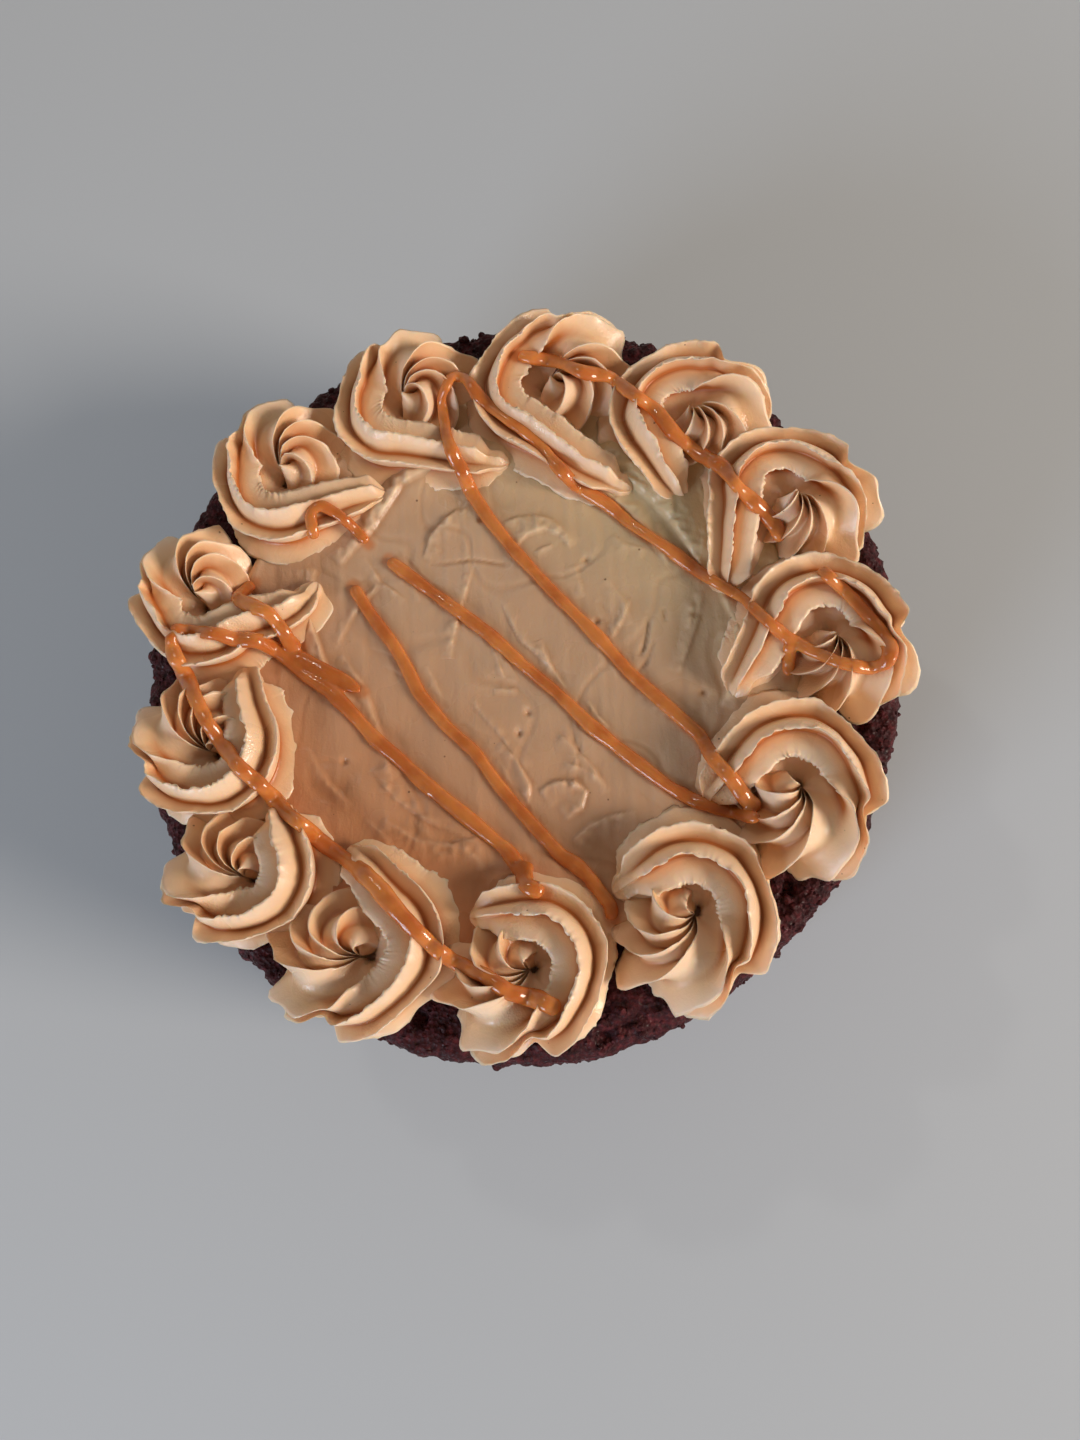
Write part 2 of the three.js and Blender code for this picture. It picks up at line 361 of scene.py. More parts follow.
def cream_skin(tree, place, bubble_share, drag):
    """The bumps of the cream, and the noise that says where it is foamy."""
    grain = add_node(
        tree,
        "ShaderNodeTexNoise",
        {"Scale": PER_METRE / GRAIN, "Detail": 3.0, "Roughness": 0.6},
        {"Vector": place},
    )
    patch = add_node(
        tree, "ShaderNodeTexNoise", {"Scale": PER_METRE / FOAM_PATCH, "Detail": 1.0}, {"Vector": place}
    )
    where = add_node(
        tree,
        "ShaderNodeMapRange",
        {1: 1 - bubble_share, 2: 1 - bubble_share + 0.12, 3: 0.0, 4: 1.0},
        {0: patch.outputs["Fac"]},
    )
    bubbles = add_node(tree, "ShaderNodeTexVoronoi", {"Scale": PER_METRE / BUBBLE}, {"Vector": place})
    foam = add_node(
        tree,
        "ShaderNodeMath",
        {"operation": "MULTIPLY"},
        {0: bubbles.outputs["Distance"], 1: where.outputs[0]},
    )
    along_knife = add_node(
        tree,
        "ShaderNodeMapping",
        {"Rotation": (0, 0, math.radians(DRAG_TURN)), "Scale": [PER_METRE / size for size in DRAG_LINE]},
        {"Vector": place},
    )
    lines = add_node(
        tree,
        "ShaderNodeTexNoise",
        {"Scale": 1.0, "Detail": 4.0, "Distortion": 0.6},
        {"Vector": along_knife.outputs[0]},
    )
    grain_bump = add_node(
        tree, "ShaderNodeBump", {"Strength": 0.22, "Distance": 0.4 * MM}, {"Height": grain.outputs["Fac"]}
    )
    foam_bump = add_node(
        tree,
        "ShaderNodeBump",
        {"Strength": 0.35, "Distance": 0.3 * MM},
        {"Height": foam.outputs[0], "Normal": grain_bump.outputs[0]},
    )
    drag_bump = add_node(
        tree,
        "ShaderNodeBump",
        {"Strength": drag, "Distance": 0.9 * MM},
        {"Height": lines.outputs["Fac"], "Normal": foam_bump.outputs[0]},
    )
    return drag_bump.outputs[0], patch.outputs["Fac"]


# %% Buttercream
def buttercream(name, tones_with_painted_light, bubble_share, zones, drag):
    """tones: the colours of a sharp ridge, of an even face and of a deep fold; the ridge colour is a painted
    highlight and the fold colour painted shade.
    bubble_share: how much of the cream is foamy.
    zones: tints that lie in one part of the cake, each (hex, share, way it grows, from, to).
    drag: how strongly the knife's drag lines show."""
    material, tree = new_material(name)
    place = add_node(tree, "ShaderNodeTexCoord").outputs["Object"]
    tint = painted_shadow_and_specks(tree, place, cream_tone_and_painted_light(tree, place, tones_with_painted_light, zones))
    bumps, foamy = cream_skin(tree, place, bubble_share, drag)
    satin = add_node(tree, "ShaderNodeMapRange", {1: 0.35, 2: 0.65, 3: 0.42, 4: 0.24}, {0: foamy})
    shader = add_node(
        tree,
        "ShaderNodeBsdfPrincipled",
        {
            "IOR": 1.46,
            "Specular IOR Level": 0.6,
            "Subsurface Weight": 0.3,
            "Subsurface Scale": 0.8 * MM,
            "Subsurface Radius": (1.0, 0.5, 0.25),
        },
        {"Base Color": tint, "Roughness": satin.outputs[0], "Normal": bumps},
    )
    add_node(tree, "ShaderNodeOutputMaterial", links={"Surface": shader.outputs[0]})
    print(name, len(tree.nodes), "nodes")
    return material


# In each cream the palest tone is a painted highlight on the ridges, and the darkest is painted shade in the
# folds.
piped_cream = buttercream(
    "buttercream_piped", [(0.05, "#F7DCBE"), (0.5, "#F0CA9F"), (0.95, "#BF7036")], 0.42, [], 0.0
)
# The spread cream is the same buttercream in darker, duller tones, which paint in the shade that lies over
# the middle of the top.
spread_cream_painted_shade = buttercream(
    "buttercream_spread_painted_shade",
    [(0.15, "#EDD2B0"), (0.5, "#CCA988"), (0.95, "#B27C4E")],
    0.25,
    # Warmer orange towards the front left, paler and greener towards the back right.
    [("#CE8C5E", 0.8, (-0.6, -0.8, 0.0), 0.0, 0.06), ("#D6C59B", 0.8, (0.6, 0.8, 0.0), 0.02, 0.06)],
    0.16,
)

# %% [markdown]
# Red-brown chocolate sponge, torn rather than cut: a mass of moist crumbs, dull as a whole, each with
# its own tiny glint. The lumps of the crumb are in the mesh. The material adds the darker hollows, the
# pores between single crumbs, and the moist spots that shine.


# %% Sponge crumb
TONE_PATCH = 2.2  # millimetres
PORE = 1.3
MOIST_SPOT = 0.8


def sponge_crumb():
    material, tree = new_material("chocolate_sponge_crumb")
    place = add_node(tree, "ShaderNodeTexCoord").outputs["Object"]
    patches = add_node(
        tree,
        "ShaderNodeTexNoise",
        {"Scale": PER_METRE / TONE_PATCH, "Detail": 5.0, "Roughness": 0.65},
        {"Vector": place},
    )
    tone = add_node(tree, "ShaderNodeValToRGB", links={0: patches.outputs["Fac"]})
    set_ramp(tone, [(0.3, "#1C080B"), (0.52, "#3E151A"), (0.72, "#662A30")])
    lumps = add_node(tree, "ShaderNodeTexVoronoi", {"Scale": PER_METRE / PORE}, {"Vector": place})
    moist = add_node(
        tree, "ShaderNodeTexNoise", {"Scale": PER_METRE / MOIST_SPOT, "Detail": 2.0}, {"Vector": place}
    )
    gloss = add_node(tree, "ShaderNodeMapRange", {1: 0.4, 2: 0.68, 3: 0.9, 4: 0.3}, {0: moist.outputs["Fac"]})
    lump_bump = add_node(
        tree, "ShaderNodeBump", {"Strength": 0.8, "Distance": 0.7 * MM}, {"Height": lumps.outputs["Distance"]}
    )
    fine_bump = add_node(
        tree,
        "ShaderNodeBump",
        {"Strength": 0.6, "Distance": 0.4 * MM},
        {"Height": moist.outputs["Fac"], "Normal": lump_bump.outputs[0]},
    )
    shader = add_node(
        tree,
        "ShaderNodeBsdfPrincipled",
        {"IOR": 1.45, "Specular IOR Level": 0.3},
        {"Base Color": tone.outputs["Color"], "Roughness": gloss.outputs[0], "Normal": fine_bump.outputs[0]},
    )
    add_node(tree, "ShaderNodeOutputMaterial", links={"Surface": shader.outputs[0]})
    print(material.name, len(tree.nodes), "nodes")
    return material


crumb = sponge_crumb()

# %% [markdown]
# Soft caramel: boiled sugar and cream, trailed from a spoon. It is glossy, and cloudy enough that it
# glows amber where light gets through. Glass would be too clear for it, so it is a smooth surface with
# much light scattered below it, and shallow dimples break its shine into small glints.


# %% Caramel
CLOUD = 9  # millimetres
DIMPLE = 2.6


def soft_caramel():
    material, tree = new_material("soft_caramel_poured")
    place = add_node(tree, "ShaderNodeTexCoord").outputs["Object"]
    cloudy = add_node(
        tree, "ShaderNodeTexNoise", {"Scale": PER_METRE / CLOUD, "Detail": 3.0}, {"Vector": place}
    )
    tone = add_node(tree, "ShaderNodeValToRGB", links={0: cloudy.outputs["Fac"]})
    set_ramp(tone, [(0.35, "#BE6D33"), (0.65, "#D78A48")], smooth=True)
    dimples = add_node(
        tree, "ShaderNodeTexNoise", {"Scale": PER_METRE / DIMPLE, "Detail": 2.0}, {"Vector": place}
    )
    bump = add_node(
        tree, "ShaderNodeBump", {"Strength": 0.4, "Distance": 0.5 * MM}, {"Height": dimples.outputs["Fac"]}
    )
    shader = add_node(
        tree,
        "ShaderNodeBsdfPrincipled",
        {
            "Roughness": 0.16,
            "IOR": 1.49,
            "Subsurface Weight": 0.7,
            "Subsurface Scale": 1.8 * MM,
            "Subsurface Radius": (1.0, 0.4, 0.12),
            "Coat Weight": 0.25,
            "Coat Roughness": 0.04,
        },
        {"Base Color": tone.outputs["Color"], "Normal": bump.outputs[0]},
    )
    add_node(tree, "ShaderNodeOutputMaterial", links={"Surface": shader.outputs[0]})
    print(material.name, len(tree.nodes), "nodes")
    return material


caramel = soft_caramel()

# %% [markdown]
# The sponge is an uncut drum of bare crumb. A profile is spun round the axis, fine where it shows and
# coarse under the cream, and then every vertex is pushed along its normal: slow waves, crumbs of three
# sizes, and pits where a piece has torn out.

# %% Sponge
SPONGE_RADIUS = 101.0
SPONGE_HEIGHT = 70.0
SPONGE_SHRINK = 1.5  # how much narrower the drum is at its foot
SPONGE_SHOULDER = 5.0  # how far its top edge is worn round
CRUMB_STEP = 1.0  # millimetres between vertices where the crumb shows
CRUMB_LUMPS = (  # height in mm, size across in mm, seed
    (0.9, 16, 1),
    (0.75, 3.4, 2),
    (0.6, 1.9, 3),
    (0.45, 1.1, 4),
)
TORN_PIT = (2.2, 5.0, 5)  # depth, size across, seed
HIDDEN_FROM = 52.0  # inside this radius the sponge lies under the spread cream
SPONGE_STEPS = 620  # round the wall, so that a face is about as wide as it is high


def slow_wave(angle, seed):
    return 0.6 * np.sin(3 * angle + seed) + 0.4 * np.sin(5 * angle + 2.3 * seed)


def sponge_profile():
    """Points (radius, height) from the middle of the underside to the middle of the top."""
    points = [(0, 0), (60, 0), (90, 0), (SPONGE_RADIUS - SPONGE_SHRINK - 1, 0)]
    wall = SPONGE_HEIGHT - SPONGE_SHOULDER
    for height in np.arange(1.0, wall, CRUMB_STEP):
        lean = SPONGE_SHRINK * max(0, 1 - height / (0.45 * SPONGE_HEIGHT))
        points.append((SPONGE_RADIUS - lean, height))
    for a in np.radians(np.arange(0, 90, 11)):
        points.append(
            (
                SPONGE_RADIUS - SPONGE_SHOULDER * (1 - math.cos(a)),
                SPONGE_HEIGHT - SPONGE_SHOULDER * (1 - math.sin(a)),
            )
        )
    for radius in np.arange(SPONGE_RADIUS - SPONGE_SHOULDER, HIDDEN_FROM, -CRUMB_STEP):
        points.append((radius, SPONGE_HEIGHT))
    return points + [(40, SPONGE_HEIGHT), (20, SPONGE_HEIGHT), (0, SPONGE_HEIGHT)]


def turned(shape, profile, steps):
    """Adds a drum turned from (radius, height) points that start and end on the axis."""
    radii, heights = np.array(profile, float).T
    at = np.linspace(0, 1, len(profile))

    def place(u, v):
        radius, height = np.interp(v, at, radii), np.interp(v, at, heights)
        a = 2 * np.pi * u
        return np.stack([radius * np.cos(a), radius * np.sin(a), height], axis=1)

    rolled_grid(shape, steps, len(profile) - 1, place)
    bmesh.ops.recalc_face_normals(shape, faces=shape.faces)
    shape.normal_update()


def crumb_relief(places):
    """How far torn crumb stands out of its smooth surface at each place."""
    relief = sum(height * wander(places, size, seed) for height, size, seed in CRUMB_LUMPS)
    depth, size, seed = TORN_PIT
    return relief - depth * ease(wander(places, size, seed), 0.35, 0.75)


# %% [markdown]
# The slow waves are the drum's own outline, a little out of round. The crumb itself fades out towards
# the underside, which stays flat to stand on, and towards the middle of the top, which no one sees.

# %% Tear the sponge
shape = bmesh.new()
turned(shape, sponge_profile(), SPONGE_STEPS)
verts = list(shape.verts)
places = points_of(verts)
normals = np.array([v.normal for v in verts])
angle = np.arctan2(places[:, 1], places[:, 0])
grown = 1 + 0.8 * slow_wave(angle, 0.7) / SPONGE_RADIUS
places[:, :2] *= grown[:, None]
radius = np.hypot(places[:, 0], places[:, 1])
shown = ease(places[:, 2], 0.2, 1.5) * ease(radius, HIDDEN_FROM - 6, HIDDEN_FROM)
places += normals * (crumb_relief(places) * shown)[:, None]
places[:, 2] = np.maximum(places[:, 2], 0)
move_to(verts, places)
sponge = finish_piece(shape, "sponge_torn_crumb", crumb, ["sponge"])

# %% [markdown]
# The loose crumbs cling to the wall and the rim. They could be scattered as instances, but those are
# lost when the cake is handed on, so they are real mesh: small balls pushed out of round, each half sunk
# where a ray meets the torn sponge. There are many, so each has few faces.

# %% Loose crumbs
CRUMB_COUNT = 1700
SMALLEST_CRUMB = 0.45  # millimetres in radius
CRUMB_RANGE = 0.9  # the largest are this much larger, and there are few of them
WALL_SHARE = 0.6  # of the crumbs cling to the wall, and the others to the rim of the top
SUNK = 0.15  # a crumb's middle lies this share of its radius below the sponge's surface
HANDFUL = 40  # a small bmesh is quick to add to, so the crumbs are made by the handful
dice = random.Random(11)
sponge_tree = BVHTree.FromPolygons(
    [v.co / MM for v in sponge.data.vertices], [list(p.vertices) for p in sponge.data.polygons]
)
shape = bmesh.new()
handful = bmesh.new()
spare = bpy.data.meshes.new("handful")
for number in range(CRUMB_COUNT):
    turn = dice.uniform(0, 2 * math.pi)
    size = SMALLEST_CRUMB + CRUMB_RANGE * dice.random() ** 3
    outward = Vector((math.cos(turn), math.sin(turn), 0))
    if dice.random() < WALL_SHARE:
        start, way = outward * 120 + Vector((0, 0, dice.uniform(1.5, SPONGE_HEIGHT - 3))), -outward
    else:
        start, way = outward * dice.uniform(90, SPONGE_RADIUS - 1) + Vector((0, 0, 90)), Vector((0, 0, -1))
    middle = sponge_tree.ray_cast(start, way)[0] + SUNK * size * way
    made = bmesh.ops.create_icosphere(handful, subdivisions=2, radius=size)["verts"]
    longer = Vector([dice.uniform(0.7, 1.3) for _ in range(3)])
    for v in made:
        v.co = v.co * longer * dice.uniform(0.82, 1.14) + middle
    if number % HANDFUL == HANDFUL - 1 or number == CRUMB_COUNT - 1:
        handful.to_mesh(spare)
        shape.from_mesh(spare)
        handful.clear()
finish_piece(shape, "sponge_loose_crumbs", crumb)

# %% [markdown]
# Each rosette is one strand from a six-pointed star nozzle. The baker starts in the middle, goes once
# round anticlockwise and lets the strand trail off clockwise round the cake. The ridges don't stay on
# top: the strand rolls over as it is laid, fast at first, so the ridges sweep up from the outside and
# over into the pit, and only the last half turn lies with its ridges side by side. A flat grid is
# rolled into a tube round that path, with the star, the roll, the ragged teeth of each ridge and the
# squashed foot worked out for each vertex.

# %% Ring of rosettes
# Clockwise from the back: degrees round the cake, ring, outer radius, how many degrees before a whole
# turn the tail leaves, its length, by how many degrees it first swings out and then back, and how
# many degrees earlier than usual the ridges roll over.
ROSETTES = [
    (80, 78, 21.5, 20, 35, 10, 0),
    (52, 82, 20.5, 18, 19, 5, 25),
    (27, 86, 19.5, 34, 27, 0, 35),
    (1, 84, 20, 30, 25, 0, 25),
    (-26, 82, 21.5, 12, 17, 5, 5),
    (-54, 81, 22, 4, 14, 0, 0),
    (-84, 79, 22, 0, 14, 0, 0),
    (-114, 82, 22, 16, 21, 8, -8),
    (-139, 85, 20, 14, 14, 5, 5),
    (-163, 79, 21.5, 0, 20, 0, 0),
    (167, 84, 19.5, 34, 28, 30, 0),
    (138, 82, 20.5, 30, 26, 0, 0),
    (110, 79, 20, 28, 32, 4, -10),
]
SPIRAL = 4.5  # how far the last part of a coil that ends in a long tail opens out
LONG_TAIL_LEAVES = 36  # degrees before a whole turn at which the longest tails leave
SEAT = SPONGE_HEIGHT  # the height that the cream stands on
DISC_TOP = 5.4  # the spread disc above the seat
dice = random.Random(5)  # for the ends of the ridges and the marks sown on the disc

# %% [markdown]
# The strand is given by a few sizes and by how they change round the coil. Each table below has an angle
# of the coil first and then its value, and the values run smoothly from row to row.

# %% Strand
STAR_POINTS = 6
STRAND_CREST = 9.4
STRAND_GROOVE = 4.1
PATH_INSET = 8.6  # the strand's axis lies this far inside the rosette's outer radius
PATH_WHOLE = 13.7  # and PATH_RADIUS is for a rosette with this much left
PATH_RADIUS = (
    (-50, 2.2), (0, 4.2), (27, 5.7), (53, 7.7), (75, 9.5), (97, 11.5), (110, 12.3), (125, 13.0),
    (144, 13.5), (225, 13.6), (270, 13.9), (315, 14.2), (360, 14.2),
)
AXIS_HEIGHT = ((-50, 1.5), (-20, 4.5), (20, 6.8), (90, 8.0), (150, 8.4), (360, 8.0))
LIP_LEAN = 18  # degrees by which the edge of a ridge hangs over towards the pit
PIT_SOFTNESS = 2.4  # radius of the pit that the inner sides crowd round
FOOT_LINE = 4.6  # below this height the cream spreads on what it stands on
# How far each of the six ridges has rolled over at each angle: 0 is on top, 90 faces the pit, and
# -90 faces outwards. The ridges that come up last have a wide bare face before them.
RIDGE_ROLL = (
    (-50, -52, -110, -168, -225, -282, -345),
    (0, -5, -85, -142, -198, -252, -305),
    (27, 15, -60, -118, -175, -232, -290),
    (53, 45, -12, -86, -140, -200, -258),
    (76, 85, 24, -36, -92, -160, -222),
    (97, 122, 70, 22, -36, -112, -190),
    (110, 150, 98, 50, 9, -74, -160),
    (124, 185, 135, 88, 45, -5, -130),
    (144, 240, 180, 130, 92, 50, -80),
    (162, 282, 225, 165, 120, 78, -47),
    (179, 312, 255, 195, 140, 98, -8),
    (191, 328, 275, 215, 150, 106, 20),
    (224, 354, 300, 232, 165, 112, 46),
    (274, 355, 300, 236, 172, 115, 48),
    (311, 352, 300, 238, 172, 112, 40),
    (360, 350, 298, 238, 170, 108, 36),
)
# How far the foot reaches from the rosette's middle at each angle, as a share of its outer radius.
FOOT_REACH = (
    (-50, 0.7), (40, 0.86), (60, 0.94), (80, 1.04), (95, 1.19), (102, 1.22), (112, 1.13), (121, 1.04),
    (126, 1.06), (132, 1.17), (138, 1.19), (154, 1.12), (165, 0.96), (173, 0.81), (180, 0.76),
    (186, 0.86), (192, 0.98), (228, 0.94), (251, 0.88), (268, 0.94), (286, 1.07), (305, 1.15),
    (321, 1.18), (360, 1.13),
)
INNER_FOOT = 0.8  # how much further than round the strand reaches under its inner side
OUTER_FOOT_HEIGHTS = (-12.5, -5.5)  # the foot's spread fades in over these depths, as minus heights
INNER_FOOT_HEIGHTS = (-13, -6)
START_SIZE = 0.62  # the strand's thickness at its start, as a share of the whole
TAIL_THINNING = 0.28
TAIL_DROP = 1.8
ROUND_END = 2.5  # each end of the strand closes over this many millimetres
COIL_SAMPLES = 400
TAIL_SAMPLES = 200
AROUND = 84  # vertices round the section
RING_STEP = 0.45  # millimetres from one section to the next


# %% Smooth tables
def smooth_line(values, reach):
    """A running mean over a number of samples each way, with the ends held."""
    padded = np.concatenate([np.repeat(values[:1], reach, 0), values, np.repeat(values[-1:], reach, 0)])
    kernel = np.hanning(2 * reach + 3)[1:-1]
    return np.convolve(padded, kernel / kernel.sum(), mode="valid")


DEGREES = np.arange(-50, 361)  # the coil starts before 0, under itself


def by_degree(table, column=1, reach=7):
    """A column of a table as a smooth line with a value for each degree of the coil."""
    at, value = zip(*[(row[0], row[column]) for row in table])
    return smooth_line(np.interp(DEGREES, at, value), reach)


path_radius = by_degree(PATH_RADIUS)
axis_height = by_degree(AXIS_HEIGHT)
foot_reach = by_degree(FOOT_REACH, reach=3)
ridge_roll = np.stack([by_degree(RIDGE_ROLL, k + 1, 9) for k in range(STAR_POINTS)], axis=1)


# %% Path of a strand
def rosette_path(radius, leave, tail, swing):
    """The strand's axis in the rosette's own frame, x towards the cake's centre, as close samples:
    angle, share of the tail run, x, y, the angle it faces outwards, how far from the middle it lies,
    how far it has opened out, and the length walked."""
    end = 360 - leave
    angles = np.concatenate([np.linspace(DEGREES[0], end, COIL_SAMPLES), np.full(TAIL_SAMPLES, end)])
    runs = np.concatenate([np.zeros(COIL_SAMPLES), np.linspace(0, 1, TAIL_SAMPLES + 1)[1:]])
    opened = SPIRAL * min(1, leave / LONG_TAIL_LEAVES) * ease(angles, 200, end)
    paths = np.interp(angles, DEGREES, path_radius) * (radius - PATH_INSET) / PATH_WHOLE + opened
    facing = np.radians(angles - swing * np.sin(1.5 * np.pi * runs))
    step = np.diff(runs, prepend=0) * tail
    a = np.radians(angles)
    x = paths * np.cos(a) - np.cumsum(np.sin(facing) * step)
    y = paths * np.sin(a) + np.cumsum(np.cos(facing) * step)
    length = np.concatenate([[0], np.cumsum(np.hypot(np.diff(x), np.diff(y)))])
    return angles, runs, x, y, facing, paths, opened, length


# %% Roll of a ridge
def ridge_turn(number, angle):
    """How many degrees a ridge has rolled over at an angle of the coil. The number of a ridge may go on
    past the six, which is a whole turn more."""
    row = np.clip(angle - DEGREES[0], 0, len(DEGREES) - 1)
    low = np.floor(row).astype(int)
    high = np.minimum(low + 1, len(DEGREES) - 1)
    share = row - low
    column = (-number) % STAR_POINTS
    rolled = ridge_roll[low, column] * (1 - share) + ridge_roll[high, column] * share
    return rolled + 360 * ((number + STAR_POINTS - 1) // STAR_POINTS)


# %% Foot of a strand
def spread_foot(inward, z, path, wanted, run):
    """Where a point of the section ends up once the soft cream has settled: its reach inwards and its
    height. wanted is how far from the rosette's middle the foot reaches."""
    # The foot spreads where it is low, and is held in where the strand slips out from under itself.
    stretch = (wanted - path) / STRAND_CREST
    stretch = np.where(stretch < 1, stretch, 1 + (stretch - 1) * ease(-z, *OUTER_FOOT_HEIGHTS))
    inner = 1 + INNER_FOOT * ease(-z, *INNER_FOOT_HEIGHTS) * (1 - run)
    inward = inward * np.where(inward < 0, stretch, inner)
    press = np.clip(FOOT_LINE - z, 0, 12)
    z = np.where(z < FOOT_LINE, FOOT_LINE * np.exp(-press / FOOT_LINE), z)
    inward = np.where(inward < 0, inward - 0.3 * press * (1 - run), inward)
    # The inner side never crosses the middle: it crowds round the pit instead.
    out = path - inward
    crowd = PIT_SOFTNESS * np.exp(np.minimum(out - PIT_SOFTNESS, 0) / PIT_SOFTNESS)
    return path - np.where((out < PIT_SOFTNESS) & (run == 0), crowd, out), z


# %% [markdown]
# The section of the strand is a six-pointed star. Its ridges are thin lips with ragged teeth, because
# the nozzle's slots tear stiff cream a little as it comes out. The lips also lean over, and at the end
# of a tail each ridge stops in its own place.


# %% Section of a strand
def star(u):
    """For places round the section: the nearest ridge, how far off it they lie, from 0 to 1 in the
    groove and signed, and how much of a ridge they are."""
    turn = u * STAR_POINTS
    nearest = np.round(turn)
    off = (turn - nearest) * 2
    off = np.sign(off) * np.abs(off) ** 1.3
    return nearest, off, (1 - np.abs(off)) ** 2.0


def strand_place(u, s, course, whole, rosette, ends):
    """Where the vertices at u round the section and s along the strand lie, in the rosette's frame."""
    radius, early, seed = rosette
    angle, run, x, y, a, path, opened = course

    def along(s, size, offset, row=0.0):
        """Unevenness along the strand, its own for each row."""
        walk = np.stack([s, np.zeros_like(s) + row, np.full_like(s, 7.3)], axis=1)
        return wander(walk, size, seed + offset)

    height = np.interp(angle, DEGREES, axis_height) + 0.4 * np.sin(np.pi * run) - TAIL_DROP * run**2
    height += 0.5 * along(s, 14, 0)
    size = (1 - TAIL_THINNING * run) * (1 + 0.04 * along(s, 9, 2))
    size *= START_SIZE + (1 - START_SIZE) * ease(angle, -50, 70)
    size *= np.sqrt(np.clip(s / ROUND_END, 0, 1)) * np.sqrt(np.clip((whole - s) / ROUND_END, 0, 1))
    # Each vertex lies between two ridges, and rolls over with them.
    nearest, off, ridge = star(u)
    fine = nearest + off / 2
    before = np.floor(fine).astype(int)
    between = fine - before
    eager = angle + early * np.sin(np.radians(angle / 2))
    spoke = ridge_turn(before, eager) * (1 - between) + ridge_turn(before + 1, eager) * between
    spoke = np.radians(spoke + 4 * along(s, 11, 1) + LIP_LEAN * ridge)
    row = 40 * (nearest % STAR_POINTS)
    warped = s + 1.5 * along(s, 6, 7, row)
    teeth = 0.6 - 0.6 * (1 - np.abs(along(warped, 1.7, 3, row))) ** 3 + 0.4 * along(warped, 4.1, 4, row)
    ragged = 0.8 * (1 - np.abs(along(warped, 1.9, 8, row))) ** 3 + 0.4 * along(warped, 3.3, 9, row)
    spoke -= ragged / STRAND_CREST * ridge**5
    stop = np.clip((whole - s - ends[(nearest % STAR_POINTS).astype(int)]) / 3.0, 0, 1)
    groove = STRAND_GROOVE * (1 - 0.2 * run)
    reach = groove + (STRAND_CREST - groove) * ridge * (0.25 + 0.75 * stop) - teeth * ridge**5
    inward = reach * size * np.sin(spoke)
    z = height + reach * size * np.cos(spoke) * (1 - 0.25 * run)
    wanted = np.interp(angle, DEGREES, foot_reach) * radius + opened
    wanted = wanted + (path + STRAND_CREST * 1.05 - wanted) * run
    inward, z = spread_foot(inward, z, path, wanted, run)
    own = np.stack([x - np.cos(a) * inward, y - np.sin(a) * inward, z], axis=1)
    own[:, :2] += 0.3 * np.stack([wander(own, 6, seed + 5), wander(own, 6, seed + 6)], axis=1)
    return own


# %% Build a rosette
RIDGE_END = 6  # millimetres before the tail's tip, within which each ridge ends
CORE = (9.0, 9.0, 1.3)  # half sizes of the flat patty of cream that closes the pit's floor


def on_the_cake(own, degrees, ring):
    """Points in a rosette's own frame to their place on the cake."""
    a = math.radians(degrees)
    x = -own[:, 0] * math.cos(a) + own[:, 1] * math.sin(a) + ring * math.cos(a)
    y = -own[:, 0] * math.sin(a) - own[:, 1] * math.cos(a) + ring * math.sin(a)
    return np.stack([x, y, own[:, 2] + SEAT], axis=1)


def build_rosette(number, degrees, ring, radius, leave, tail, swing, early):
    *course, length = rosette_path(radius, leave, tail, swing)
    whole = length[-1]
    ends = np.array([dice.uniform(0, RIDGE_END) for _ in range(STAR_POINTS)])

    def place(u, v):
        s = v * whole
        here = [np.interp(s, length, values) for values in course]
        own = strand_place(u, s, here, whole, (radius, early, 100 * number), ends)
        return on_the_cake(own, degrees, ring)

    shape = bmesh.new()
    rolled_grid(shape, AROUND, int(whole / RING_STEP), place)
    core = bmesh.ops.create_uvsphere(shape, u_segments=32, v_segments=16, radius=1)["verts"]
    own = points_of(core) * CORE
    own[:, 2] = np.maximum(own[:, 2], 0)
    move_to(core, on_the_cake(own, degrees, ring))
    name = f"rosette_{number:02d}"
    piece = finish_piece(shape, f"{name}_piped", piped_cream, [name])
    note_folds(piece, 1.1, 26)
    return piece


rosettes = [build_rosette(i + 1, *row) for i, row in enumerate(ROSETTES)]

# %% [markdown]
# The middle of the top is buttercream spread with a palette knife, and the knife has left its marks:
# thin ridges where its edge ran, steps where a new stroke stopped, drag lines, torn flaps, and a bank
# of cream pushed up towards the tails. The marks lie where the photograph shows them, so each is a line
# of pixels, seen through the camera on the height of the disc. Fainter marks, sown by chance, fill the
# space between.

